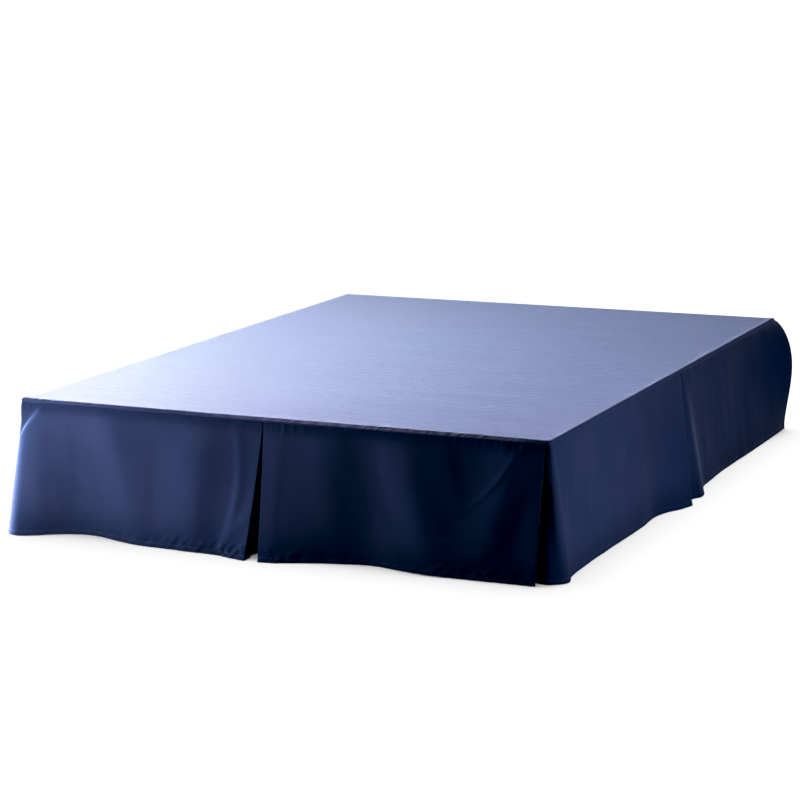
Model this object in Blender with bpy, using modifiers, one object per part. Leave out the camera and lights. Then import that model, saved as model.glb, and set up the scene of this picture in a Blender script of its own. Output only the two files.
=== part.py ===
"""Three-sided tailored bed skirt on the plain box base that it is draped over.

Metres, +Z up. The origin is on the floor under the middle of the bed, +Y points to the head end and the
foot end faces -Y. The deck cloth lies on the base, its rim turned down; the drop panels are seamed under
that rim, hang to the floor and part at three kinds of pleat: the foot centre, the near corners and the
middle of each side. Each panel is a loft from its seam line at the top to its hem line on the floor.
"""

from collections import namedtuple

import bmesh
import bpy
import numpy as np

# Driving sizes
DECK_WIDTH = 1.524
DECK_LENGTH = 2.032
DROP = 0.3556
CLOTH = 0.0016
BASE_HEIGHT = 0.2286
BASE_INSET = 0.0075
BASE_CORNER_RADIUS = 0.030
BASE_EDGE_RADIUS = 0.012
LEG_RADIUS_FLOOR = 0.021
LEG_RADIUS_TOP = 0.027
LEG_SPACING_X = 0.660
LEG_SPACING_Y = 0.900
TOUCH_GAP = 0.0003
SEAM_GAP = 0.0009
HEM_CLEARANCE = 0.001
DECK_RISE = 0.0022

# Worked out from them
HALF_WIDTH = DECK_WIDTH / 2
HALF_LENGTH = DECK_LENGTH / 2
DECK_TOP = DROP + DECK_RISE
BASE_TOP = DECK_TOP - CLOTH - TOUCH_GAP
BASE_BOTTOM = BASE_TOP - BASE_HEIGHT

# The rim of the deck: a roll of this radius, then a lip down to the seam
ROLL_RADIUS = 0.006
LIP_DEPTH = 0.0085
SEAM_TOP = DECK_TOP - LIP_DEPTH - SEAM_GAP
ROLL_STEPS = 3
DECK_CELLS_ACROSS = 15
DECK_CELLS_ALONG = 20

# How a panel leaves its seam, and where its height is cut into sections (0 seam, 1 hem)
FLARE_POWER = 1.15
SHOULDER_PEAK = 4.19
SHOULDER_TUCK = 0.012
SECTIONS = (0.0, 0.06, 0.14, 0.26, 0.40, 0.55, 0.70, 0.86, 1.0)
COLUMN_WIDTH = 0.034

# A line of a panel's cloth from seam to hem, in the panel's own side frame: "along" runs with the deck's
# edge and "out" is away from the bed. BEHIND is the out of cloth that passes behind another panel.
# shoulder is how far the cloth stands out in an extra curve, a third of the way down.
Fold = namedtuple("Fold", "seam_along seam_out hem_along hem_out shoulder", defaults=(0.0,))
BEHIND = -0.0035
LEFT_EDGE = -HALF_WIDTH
FOOT_PLEAT = -0.029
PLEAT_SLIT = 0.0008

# Foot side: along = x, out = -y from the foot edge
FOOT_LEFT = (
    Fold(LEFT_EDGE, -0.045, -0.790, -0.0615, 0.008),
    Fold(LEFT_EDGE, -0.025, -0.790, -0.0115, 0.011),
    Fold(LEFT_EDGE, -0.010, -0.784, 0.0335, 0.014),
    Fold(-0.760, -0.002, -0.773, 0.0725, 0.016),
    Fold(-0.755, 0.0, -0.757, 0.0955, 0.016),
    Fold(-0.745, 0.0, -0.734, 0.0995, 0.012),
    Fold(-0.715, 0.0, -0.695, 0.0755, 0.005),
    Fold(-0.675, 0.0, -0.645, 0.0455),
    Fold(-0.620, 0.0, -0.590, 0.0235),
    Fold(-0.555, 0.0, -0.530, 0.0215),
    Fold(-0.465, 0.0, -0.445, 0.0455),
    Fold(-0.370, 0.0, -0.365, 0.0655),
    Fold(-0.250, 0.0, -0.240, 0.0705),
    Fold(-0.150, 0.0, -0.145, 0.0755),
    Fold(-0.080, 0.0, -0.085, 0.0905),
    Fold(FOOT_PLEAT - PLEAT_SLIT, 0.0, -0.041, 0.102),
)
FOOT_RIGHT = (
    Fold(FOOT_PLEAT + PLEAT_SLIT, 0.0, -0.003, 0.100),
    Fold(0.020, 0.0, 0.038, 0.0935),
    Fold(0.090, 0.0, 0.098, 0.0705),
    Fold(0.170, 0.0, 0.182, 0.0405),
    Fold(0.270, 0.0, 0.285, 0.0215),
    Fold(0.360, 0.0, 0.368, 0.0355),
    Fold(0.450, 0.0, 0.455, 0.0485),
    Fold(0.550, 0.0, 0.560, 0.0525),
    Fold(0.660, 0.0, 0.660, 0.052),
    Fold(0.7475, 0.0, 0.742, 0.048),
)
FOOT_UNDERLAY = (
    Fold(FOOT_PLEAT - 0.002, BEHIND, -0.042, 0.0995),
    Fold(-0.024, BEHIND, -0.043, 0.068),
    Fold(-0.016, BEHIND, -0.050, 0.044),
    Fold(-0.004, BEHIND, -0.042, 0.024),
    Fold(0.012, BEHIND, -0.018, 0.013),
    Fold(0.045, BEHIND, 0.030, 0.010),
    Fold(0.085, BEHIND, 0.080, 0.011),
)

# Right side: along = distance from the foot edge, out = x past the deck's edge
RIGHT_NEAR = (
    Fold(-BEHIND, -0.085, -0.004, -0.0935),
    Fold(-BEHIND, -0.055, -0.012, -0.0565),
    Fold(-BEHIND, -0.030, -0.020, -0.0255),
    Fold(-BEHIND, -0.014, -0.024, -0.0015),
    Fold(0.0040, -0.006, -0.018, 0.0125),
    Fold(0.0065, -0.001, -0.006, 0.0275),
    Fold(0.0130, 0.0, 0.006, 0.0365),
    Fold(0.024, 0.0, 0.024, 0.041),
    Fold(0.040, 0.0, 0.046, 0.036),
    Fold(0.065, 0.0, 0.072, 0.0285),
    Fold(0.120, 0.0, 0.122, 0.026),
    Fold(0.250, 0.0, 0.250, 0.0245),
    Fold(0.420, 0.0, 0.418, 0.0275),
    Fold(0.560, 0.0, 0.552, 0.031),
    Fold(0.660, 0.0, 0.645, 0.0315),
    Fold(0.760, 0.0, 0.735, 0.0285),
    Fold(0.850, 0.0, 0.793, 0.0415),
    Fold(0.930, 0.0, 0.840, 0.0655),
    Fold(1.034, 0.0, 0.900, 0.0845),
)
RIGHT_FAR = (
    Fold(0.960, BEHIND, 0.860, 0.0425),
    Fold(1.000, BEHIND, 0.905, 0.0515),
    Fold(1.030, BEHIND, 0.948, 0.0575),
    Fold(1.045, -0.0030, 0.980, 0.0635),
    Fold(1.055, -0.0008, 1.000, 0.075),
    Fold(1.066, 0.0, 1.026, 0.076),
    Fold(1.080, 0.0, 1.055, 0.0705),
    Fold(1.100, 0.0, 1.085, 0.0575),
    Fold(1.135, 0.0, 1.130, 0.044),
    Fold(1.220, 0.0, 1.210, 0.039),
    Fold(1.360, 0.0, 1.350, 0.0345),
    Fold(1.500, 0.0, 1.495, 0.0365),
    Fold(1.660, 0.0, 1.655, 0.0405),
    Fold(1.820, 0.0, 1.815, 0.0425, 0.010),
    Fold(1.950, 0.0, 1.940, 0.043, 0.030),
    Fold(DECK_LENGTH, 0.0, 2.020, 0.0425, 0.0477),
)

# Left side: along = distance from the foot edge, out = -x past the deck's edge
LEFT_NEAR = (
    Fold(0.006, BEHIND, -0.030, 0.009),
    Fold(0.025, BEHIND, 0.010, 0.016),
    Fold(0.045, BEHIND, 0.045, 0.021),
    Fold(0.058, -0.0028, 0.075, 0.027),
    Fold(0.072, 0.0, 0.095, 0.036),
    Fold(0.100, 0.0, 0.125, 0.036),
    Fold(0.170, 0.0, 0.190, 0.026),
    Fold(0.300, 0.0, 0.310, 0.022),
    Fold(0.450, 0.0, 0.450, 0.036),
    Fold(0.600, 0.0, 0.600, 0.027),
    Fold(0.740, 0.0, 0.730, 0.031),
    Fold(0.860, 0.0, 0.845, 0.043),
    Fold(0.950, 0.0, 0.925, 0.058),
    Fold(1.004, 0.0, 0.965, 0.064),
)
LEFT_FAR = (
    Fold(0.935, BEHIND, 0.900, 0.033),
    Fold(0.970, BEHIND, 0.945, 0.040),
    Fold(1.000, BEHIND, 0.985, 0.048),
    Fold(1.016, -0.0028, 1.010, 0.058),
    Fold(1.028, 0.0, 1.032, 0.065),
    Fold(1.045, 0.0, 1.060, 0.062),
    Fold(1.080, 0.0, 1.100, 0.048),
    Fold(1.160, 0.0, 1.170, 0.035),
    Fold(1.300, 0.0, 1.300, 0.031),
    Fold(1.460, 0.0, 1.460, 0.042),
    Fold(1.620, 0.0, 1.620, 0.032),
    Fold(1.780, 0.0, 1.780, 0.040, 0.004),
    Fold(1.920, 0.0, 1.920, 0.043, 0.016),
    Fold(DECK_LENGTH, 0.0, 2.024, 0.041, 0.030),
)

# How far the seam dips below its level along each edge, from one end of the edge to the other
SEAM_DIPS = {
    "foot": (0.000, 0.0030, -0.0006, -0.0010, 0.0000, 0.0012, -0.0012, 0.0014, -0.0014),
    "right": (-0.0014, 0.0004, 0.0010, -0.0004, -0.0010, 0.0006, -0.0004, 0.0008, 0.0004),
    "left": (0.000, 0.0010, -0.0006, 0.0008, -0.0010, 0.0004, -0.0008, 0.0006, 0.000),
}

# Colours: linear red, green, blue, then roughness
NAVY_CLOTH = ((0.014, 0.024, 0.085), 0.62)
TICKING = ((0.62, 0.62, 0.60), 0.85)
DARK_WOOD = ((0.035, 0.022, 0.015), 0.45)


def clear_scene():
    for item in list(bpy.data.objects):
        bpy.data.objects.remove(item, do_unlink=True)


def plain_material(name, finish):
    colour, roughness = finish
    material = bpy.data.materials.new(name)
    material.use_nodes = True
    shader = material.node_tree.nodes["Principled BSDF"]
    shader.inputs["Base Color"].default_value = (*colour, 1.0)
    shader.inputs["Roughness"].default_value = roughness
    shader.inputs["Metallic"].default_value = 0.0
    return material


def add_object(name, mesh, finish):
    item = bpy.data.objects.new(name, mesh)
    item.data.materials.append(plain_material(name, finish))
    collection.objects.link(item)
    return item


def seam_dip(side, fraction):
    """The dip at a fraction of the way along an edge, a smooth curve through that edge's dips."""
    dips = np.array(SEAM_DIPS[side])
    place = np.clip(fraction, 0.0, 1.0) * (len(dips) - 1)
    low = np.minimum(np.floor(place).astype(int), len(dips) - 2)
    part = place - low
    blend = part * part * (3.0 - 2.0 * part)
    return dips[low] * (1.0 - blend) + dips[low + 1] * blend


def smooth_folds(folds):
    """Lines of cloth between and through the folds, about COLUMN_WIDTH apart at the hem.

    Each column of the table is a cubic Hermite curve over the distance along the hem, whose slope at a
    fold is that of the chord between its two neighbours.
    """
    rows = np.array(folds)
    steps = np.linalg.norm(np.diff(rows[:, 2:4], axis=0), axis=1)
    place = np.concatenate([[0.0], np.cumsum(steps)])
    slope = np.gradient(rows, place, axis=0, edge_order=1)
    slope[1:-1] = (rows[2:] - rows[:-2]) / (place[2:] - place[:-2])[:, None]
    lines = []
    for index, step in enumerate(steps):
        pieces = max(1, round(step / COLUMN_WIDTH))
        for part in np.arange(pieces) / pieces:
            square, cube = part**2, part**3
            lines.append(
                (2 * cube - 3 * square + 1) * rows[index]
                + (cube - 2 * square + part) * step * slope[index]
                + (3 * square - 2 * cube) * rows[index + 1]
                + (cube - square) * step * slope[index + 1]
            )
    lines.append(rows[-1])
    return np.array(lines)


def on_side(side, along, out):
    """Plan position of a point given in a side's own frame."""
    if side == "foot":
        return along, -HALF_LENGTH - out
    sign = 1.0 if side == "right" else -1.0
    return sign * (HALF_WIDTH + out), along - HALF_LENGTH


def grid_mesh(name, points):
    """A mesh of quads over a grid of points, rows by columns."""
    rows, columns = points.shape[:2]
    corner = np.arange(rows * columns).reshape(rows, columns)
    quads = np.stack([corner[:-1, :-1], corner[:-1, 1:], corner[1:, 1:], corner[1:, :-1]], axis=-1)
    mesh = bpy.data.meshes.new(name)
    mesh.from_pydata(points.reshape(-1, 3).tolist(), [], quads.reshape(-1, 4).tolist())
    mesh.shade_smooth()
    return mesh


def thicken(item, offset):
    wall = item.modifiers.new("cloth", "SOLIDIFY")
    wall.thickness = CLOTH
    wall.offset = offset


def drop_panel(name, side, folds):
    """A hanging panel: every line of cloth runs from the seam to the hem, flaring by FLARE_POWER."""
    seam_along, seam_out, hem_along, hem_out, shoulder = smooth_folds(folds).T[:, None, :]
    down = np.array(SECTIONS)[:, None]
    flare = down**FLARE_POWER
    bulge = shoulder * SHOULDER_PEAK * down**0.75 * (1.0 - down) ** 1.5
    along = seam_along + (hem_along - seam_along) * flare
    out = seam_out + (hem_out - seam_out) * flare + bulge
    x, y = on_side(side, along, out)
    start, length = (-HALF_WIDTH, DECK_WIDTH) if side == "foot" else (0.0, DECK_LENGTH)
    seam_z = SEAM_TOP - seam_dip(side, (seam_along - start) / length) - shoulder * SHOULDER_TUCK
    z = seam_z + (HEM_CLEARANCE - seam_z) * down
    panel = add_object(name, grid_mesh(name, np.stack([x, y, z], axis=-1)), NAVY_CLOTH)
    thicken(panel, 0.0)


def rim_places(half, cells):
    """Grid places across the deck: its flat middle, then the steps of the rim at each end.

    The middle is in metres from the centre; a rim step's number is added to the half size as a flag.
    """
    core = half - ROLL_RADIUS
    middle = np.linspace(-core, core, cells + 1)
    steps = np.zeros_like(middle)
    rim = np.arange(1, ROLL_STEPS + 2)
    place = np.concatenate([np.full(len(rim), -core), middle, np.full(len(rim), core)])
    return place, np.concatenate([-rim[::-1], steps, rim])


def deck_cloth():
    """The deck: flat, with a rounded rim that turns down to the seam on all four sides."""
    cloth_edge = CLOTH / 2
    across, across_step = rim_places(HALF_WIDTH + cloth_edge, DECK_CELLS_ACROSS)
    length, length_step = rim_places(HALF_LENGTH + cloth_edge, DECK_CELLS_ALONG)
    core_x, core_y = np.meshgrid(across, length)
    step_x, step_y = np.meshgrid(across_step, length_step)
    ring = np.maximum(abs(step_x), abs(step_y))
    angle = np.minimum(ring, ROLL_STEPS) / ROLL_STEPS * np.pi / 2
    direction = np.hypot(step_x, step_y) + (ring == 0)
    reach = ROLL_RADIUS * np.sin(angle)
    x = core_x + step_x / direction * reach
    y = core_y + step_y / direction * reach
    drop = ROLL_RADIUS * (1.0 - np.cos(angle)) + (ring > ROLL_STEPS) * (LIP_DEPTH - ROLL_RADIUS)
    foot = seam_dip("foot", (x + HALF_WIDTH) / DECK_WIDTH) * (step_y < 0)
    sides = (y + HALF_LENGTH) / DECK_LENGTH
    right = seam_dip("right", sides) * (step_x > 0)
    left = seam_dip("left", sides) * (step_x < 0)
    dip = np.where(step_y < 0, foot, right + left)
    z = DECK_TOP - drop - dip * ring / (ROLL_STEPS + 1)
    deck = add_object("deck", grid_mesh("deck", np.stack([x, y, z], axis=-1)), NAVY_CLOTH)
    thicken(deck, -1.0)


def box_base():
    """The bed base: an upholstered box with rounded corners and edges."""
    mesh = bpy.data.meshes.new("bed_base")
    shape = bmesh.new()
    bmesh.ops.create_cube(shape, size=1.0)
    size = (DECK_WIDTH - 2 * BASE_INSET, DECK_LENGTH - 2 * BASE_INSET, BASE_HEIGHT)
    bmesh.ops.scale(shape, vec=size, verts=shape.verts)
    bmesh.ops.translate(shape, vec=(0.0, 0.0, (BASE_TOP + BASE_BOTTOM) / 2), verts=shape.verts)
    uprights = [edge for edge in shape.edges if abs(edge.verts[0].co.z - edge.verts[1].co.z) > BASE_HEIGHT / 2]
    bmesh.ops.bevel(shape, geom=uprights, offset=BASE_CORNER_RADIUS, segments=5, profile=0.5, affect="EDGES")
    shape.to_mesh(mesh)
    shape.free()
    base = add_object("bed_base", mesh, TICKING)
    rounding = base.modifiers.new("edges", "BEVEL")
    rounding.width = BASE_EDGE_RADIUS
    rounding.segments = 3
    rounding.limit_method = "ANGLE"
    rounding.angle_limit = np.radians(60)


def leg(name, x, y):
    """A turned leg, tapered to a flat foot on the floor."""
    height = BASE_BOTTOM - TOUCH_GAP
    mesh = bpy.data.meshes.new(name)
    shape = bmesh.new()
    bmesh.ops.create_cone(
        shape,
        cap_ends=True,
        segments=24,
        radius1=LEG_RADIUS_FLOOR,
        radius2=LEG_RADIUS_TOP,
        depth=height,
    )
    shape.to_mesh(mesh)
    shape.free()
    item = add_object(name, mesh, DARK_WOOD)
    item.location = (x, y, height / 2)


def legs():
    """One leg at each corner, one at the middle of each long side and one under the middle."""
    for row, y in (("foot", -LEG_SPACING_Y), ("middle", 0.0), ("head", LEG_SPACING_Y)):
        leg(f"leg_{row}_left", -LEG_SPACING_X, y)
        leg(f"leg_{row}_right", LEG_SPACING_X, y)
    leg("leg_centre", 0.0, 0.0)


clear_scene()
collection = bpy.data.collections.new("bed_skirt_on_bed_base")
bpy.context.scene.collection.children.link(collection)

box_base()
legs()
deck_cloth()
drop_panel("foot_panel_left", "foot", FOOT_LEFT)
drop_panel("foot_panel_right", "foot", FOOT_RIGHT)
drop_panel("foot_pleat_underlay", "foot", FOOT_UNDERLAY)
drop_panel("right_panel_near", "right", RIGHT_NEAR)
drop_panel("right_panel_far", "right", RIGHT_FAR)
drop_panel("left_panel_near", "left", LEFT_NEAR)
drop_panel("left_panel_far", "left", LEFT_FAR)
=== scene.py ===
from collections import namedtuple

import bpy
import numpy as np
from mathutils import Matrix, Vector


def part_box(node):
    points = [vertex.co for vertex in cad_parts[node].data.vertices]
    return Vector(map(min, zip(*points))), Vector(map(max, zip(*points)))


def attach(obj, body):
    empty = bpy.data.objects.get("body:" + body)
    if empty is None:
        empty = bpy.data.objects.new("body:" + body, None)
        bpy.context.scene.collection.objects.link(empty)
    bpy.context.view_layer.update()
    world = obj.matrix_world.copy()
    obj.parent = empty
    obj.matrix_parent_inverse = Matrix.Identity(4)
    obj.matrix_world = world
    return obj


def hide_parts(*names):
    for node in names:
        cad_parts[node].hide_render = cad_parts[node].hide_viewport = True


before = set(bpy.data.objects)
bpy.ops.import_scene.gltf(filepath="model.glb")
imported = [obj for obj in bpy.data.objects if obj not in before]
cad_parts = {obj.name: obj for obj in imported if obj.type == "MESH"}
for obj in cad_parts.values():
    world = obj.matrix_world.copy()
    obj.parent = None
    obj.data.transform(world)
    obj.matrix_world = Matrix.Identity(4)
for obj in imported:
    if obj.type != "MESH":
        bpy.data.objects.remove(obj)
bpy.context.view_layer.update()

# ---------------------------------------------------------------------------------------------------------
# Camera. It stands in front of the bed and to its right, at eye height, and looks down a little on the foot
# end. Angles are turns from "level, looking at the head end", in radians.
# ---------------------------------------------------------------------------------------------------------
EYE = (2.76110622, -6.29908380, 1.57473308)
TURN_LEFT = 0.42673174
LOOK_DOWN = 0.19427856
LEAN = -0.01096071
LENS_MM = 106.11
SENSOR_MM = 36.0

level_ahead = np.array([-np.sin(TURN_LEFT), np.cos(TURN_LEFT), 0.0])
level_right = np.array([np.cos(TURN_LEFT), np.sin(TURN_LEFT), 0.0])
ahead = level_ahead * np.cos(LOOK_DOWN) - np.array([0.0, 0.0, np.sin(LOOK_DOWN)])
level_up = np.cross(level_right, ahead)
right = np.cos(LEAN) * level_right + np.sin(LEAN) * level_up
up = np.cos(LEAN) * level_up - np.sin(LEAN) * level_right
lens = bpy.data.cameras.new("camera")
lens.lens = LENS_MM
lens.sensor_width = SENSOR_MM
camera = bpy.data.objects.new("camera", lens)
pose = np.eye(4)
pose[:3] = np.stack([right, up, -ahead, EYE], axis=1)
camera.matrix_world = Matrix(pose.tolist())
bpy.context.scene.collection.objects.link(camera)
bpy.context.scene.camera = camera

# ---------------------------------------------------------------------------------------------------------
# Studio. A pale floor in a dim even room, with a wash from a little beyond straight above that lights only
# the floor. Soft lights stand low at the left and fainter ones at the right, and spare the floor. The film
# has a soft shoulder and slightly raised blacks.
# ---------------------------------------------------------------------------------------------------------
FILM_BLACK = (0.0057, 0.0031, 0.0004)
FILM_WHITE = 1.45
FILM_STRAIGHT = 0.25
FILM_CURVE = ((0.5, 0.5), (0.7, 0.66), (0.98, 0.855), (1.3, 0.96))
FLOOR_REACH = 120.0
FLOOR_COLOUR = (0.93, 0.93, 0.92, 1.0)
FLOOR_ROUGHNESS = 0.9
FLOOR_GLOW = 0.10
WHITE = (1.0, 1.0, 1.0, 1.0)
ROOM_LIGHT = 0.03
ABOVE_STRENGTH = 0.2
ABOVE_SPREAD = np.radians(90.0)
WASH_STRENGTH = 5.2
WASH_SPREAD = np.radians(52.0)
WASH_FROM = (-0.10, 0.20, 1.0)

# A soft light: where it stands, what it is turned to, its width in metres, its power in watts, its colour.
Lamp = namedtuple("Lamp", "place target width power colour")
LAMPS = {
    "low_left": Lamp((-1.9, -0.9, 0.3), (-0.8, -1.0, 0.2), 0.5, 560.0, (0.88, 0.76, 0.86)),
    "side_left": Lamp((-2.6, -0.3, 0.3), (-0.8, -0.9, 0.2), 0.5, 365.0, (1.0, 0.809, 0.80)),
    "left": Lamp((-2.0, -0.6, 0.9), (-0.6, -0.8, 0.3), 0.8, 215.5, (1.0, 0.952, 0.779)),
    "near_left": Lamp((-0.9, -1.7, 0.5), (-0.5, -1.05, 0.2), 0.4, 128.0, (1.0, 0.63, 0.53)),
    "corner_left": Lamp((-1.6, -1.05, 0.25), (-0.8, -1.0, 0.2), 0.3, 150.0, (1.0, 0.961, 0.967)),
    "corner_near": Lamp((-0.92, -1.21, 0.34), (-0.76, -1.08, 0.18), 0.12, 5.0, (1.0, 0.72, 0.50)),
    "far_left": Lamp((-1.6, 0.6, 0.55), (0.0, 0.4, 0.36), 0.4, 38.0, (1.0, 0.776, 0.65)),
    "right": Lamp((1.7, -0.9, 0.3), (0.8, -0.4, 0.2), 0.4, 70.0, (1.0, 0.684, 0.614)),
    "far_right": Lamp((2.6, 0.5, 0.3), (0.8, 0.4, 0.2), 0.5, 26.0, (0.795, 0.746, 1.0)),
}

view = bpy.context.scene.view_settings
view.view_transform = "Standard"
view.use_curve_mapping = True
film = view.curve_mapping
film.black_level = FILM_BLACK
film.white_level = [black + FILM_WHITE for black in FILM_BLACK]
straight = film.curves[3].points.new(FILM_STRAIGHT / FILM_WHITE, FILM_STRAIGHT)
straight.handle_type = "VECTOR"
film.curves[3].points[0].handle_type = "VECTOR"
for bright, shown in FILM_CURVE:
    film.curves[3].points.new(bright / FILM_WHITE, shown)
film.update()

floor_mesh = bpy.data.meshes.new("studio_floor")
floor_plan = [(x * FLOOR_REACH, y * FLOOR_REACH, 0.0) for x, y in ((-1, -1), (1, -1), (1, 1), (-1, 1))]
floor_mesh.from_pydata(floor_plan, [], [(0, 1, 2, 3)])
floor = bpy.data.objects.new("studio_floor", floor_mesh)
bpy.context.scene.collection.objects.link(floor)
floor_paint = bpy.data.materials.new("studio_floor")
floor_paint.use_nodes = True
floor_shader = floor_paint.node_tree.nodes["Principled BSDF"]
floor_shader.inputs["Base Color"].default_value = FLOOR_COLOUR
floor_shader.inputs["Roughness"].default_value = FLOOR_ROUGHNESS
floor_shader.inputs["Emission Color"].default_value = WHITE
floor_shader.inputs["Emission Strength"].default_value = FLOOR_GLOW
floor_mesh.materials.append(floor_paint)
floor.visible_diffuse = False
floor.visible_glossy = False

floor_only = bpy.data.collections.new("floor_only")
floor_only.objects.link(floor)
floor_spared = bpy.data.collections.new("floor_spared")
floor_spared.objects.link(floor)
floor_spared.collection_objects[0].light_linking.link_state = "EXCLUDE"


def soft_light(name, lamp):
    """A square soft light at its place, turned to its target, that spares the floor."""
    data = bpy.data.lights.new(name, "AREA")
    data.shape = "SQUARE"
    data.size = lamp.width
    data.energy = lamp.power
    data.color = lamp.colour
    light = bpy.data.objects.new(name, data)
    light.location = lamp.place
    light.rotation_euler = (Vector(lamp.place) - Vector(lamp.target)).to_track_quat("Z", "Y").to_euler()
    light.visible_camera = False
    light.light_linking.receiver_collection = floor_spared
    bpy.context.scene.collection.objects.link(light)


def high_light(name, strength, spread, towards=(0.0, 0.0, 1.0)):
    """A very broad light from far away in a direction."""
    data = bpy.data.lights.new(name, "SUN")
    data.energy = strength
    data.angle = spread
    light = bpy.data.objects.new(name, data)
    light.rotation_euler = Vector(towards).to_track_quat("Z", "Y").to_euler()
    bpy.context.scene.collection.objects.link(light)
    return light


for lamp_name, soft_lamp in LAMPS.items():
    soft_light(lamp_name, soft_lamp)
high_light("above", ABOVE_STRENGTH, ABOVE_SPREAD)
wash = high_light("floor_wash", WASH_STRENGTH, WASH_SPREAD, WASH_FROM)
wash.light_linking.receiver_collection = floor_only

room = bpy.data.worlds.new("room")
room.use_nodes = True
room.node_tree.nodes["Background"].inputs["Color"].default_value = WHITE
room.node_tree.nodes["Background"].inputs["Strength"].default_value = ROOM_LIGHT
bpy.context.scene.world = room

# ---------------------------------------------------------------------------------------------------------
# The navy cloth: a thin plain-weave brushed polyester, one roll for every piece of the skirt. Its threads run
# along the two directions of each piece's own map, which is laid out in metres.
# ---------------------------------------------------------------------------------------------------------
CLOTH = 0.0012
CLOTH_ROUGHNESS = 0.62
SHEEN = 0.2416
SHEEN_SPREAD = 0.30
SHEEN_TINT = (0.392, 0.556, 1.0, 1.0)
NAVY = (0.00245, 0.00555, 0.01636)
NAVY_WORN = (0.00335, 0.00660, 0.01946)
# The dark tone of painted shade, laid on the deck's lip, toward the panels' hems and toward the foot panels'
# seam.
NAVY_PAINTED_SHADE = (0.00067, 0.00189, 0.00603)
THREAD_PITCH = 0.0006
WEAVE_RELIEF = 0.25
SLUBS = (28.0, 700.0, 1.0)
SLUB_TONE = 0.6
SLUB_RELIEF = 0.5
DRIFT = 5.5
WORN = (0.25, 0.80)
CLOTH_BUMP = 0.35
CLOTH_BUMP_DEPTH = 0.0004
EDGE_WEIGHT = 90

# The streaks of the deck's cloth, and the heights over which painted shade on its lip fades out upward, in
# front of LIP_FRONT.
STREAKS = (34.0, 50.0, 1.0)
STREAK_RELIEF = 7.5
LIP_PAINTED_SHADE = (0.3485, 0.3505)
LIP_FRONT = -1.01

# A painted highlight on the foot rim's gathers, where the roll catches light: its colour, between which
# heights and places along it, how closely the gathers lie and how they slant.
RIM_PAINTED_SHEEN = (0.030, 0.044, 0.094)
RIM_SHEEN_HEIGHT = (0.3498, 0.3540, 0.3566, 0.3576)
RIM_SHEEN_FRONT = -1.006
RIM_SHEEN_RUN = (-0.35, 0.25, 0.66, 0.72)
RIM_SHEEN_GATHERS = (105.0, 1.0, 1.0)
RIM_SHEEN_SLANT = -1.8
RIM_SHEEN_TONE = (0.36, 0.60)

# The heights over which painted shade darkens a panel: toward its hem near the floor, and on the foot end
# toward its seam under the deck's edge by SEAM_SHARE, with a quick step of ALLOWANCE_SHARE at the edge of the
# seam's allowance, partly the allowance's own tone and partly painted shade.
HEM_PAINTED_SHADE = (-0.06, 0.11)
ALLOWANCE_TONE_AND_SHADE = (0.3240, 0.3255)
ALLOWANCE_SHARE = 0.12
SEAM_PAINTED_SHADE = (0.300, 0.352)
SEAM_SHARE = 0.5

STITCH_COLOUR = (0.009, 0.0136, 0.039)
STITCH_HEIGHT = 0.0120
STITCH_WIDTH = 0.0006
STITCH_LENGTH = 0.0034
STITCH_SHARE = 0.78
STITCH_RELIEF = 2.0


class Wire:
    """A socket of a finish. Arithmetic on it adds Math nodes to that finish's tree."""

    def __init__(self, finish, socket):
        self.finish = finish
        self.socket = socket

    def maths(self, operation, *values):
        return self.finish.node("ShaderNodeMath", {"operation": operation}, dict(enumerate(values)))

    def __add__(self, other):
        return self.maths("ADD", self, other)

    def __sub__(self, other):
        return self.maths("SUBTRACT", self, other)

    def __rsub__(self, other):
        return self.maths("SUBTRACT", other, self)

    def __mul__(self, other):
        return self.maths("MULTIPLY", self, other)

    def __truediv__(self, other):
        return self.maths("DIVIDE", self, other)

    __radd__ = __add__
    __rmul__ = __mul__

    def sine(self):
        return self.maths("SINE", self)

    def distance(self):
        return self.maths("ABSOLUTE", self)

    def fraction(self):
        return self.maths("FRACT", self)

    def below(self, limit):
        return self.maths("LESS_THAN", self, limit)

    def ramp(self, low, high):
        """0 below low, 1 above high, a smooth step between."""
        values = {"Value": self, "From Min": low, "From Max": high}
        return self.finish.node("ShaderNodeMapRange", {"interpolation_type": "SMOOTHSTEP"}, values)

    def plateau(self, rise_low, rise_high, fall_low, fall_high):
        """A ramp up to 1, and further on a ramp down to 0 again."""
        return self.ramp(rise_low, rise_high) * (1.0 - self.ramp(fall_low, fall_high))


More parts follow.
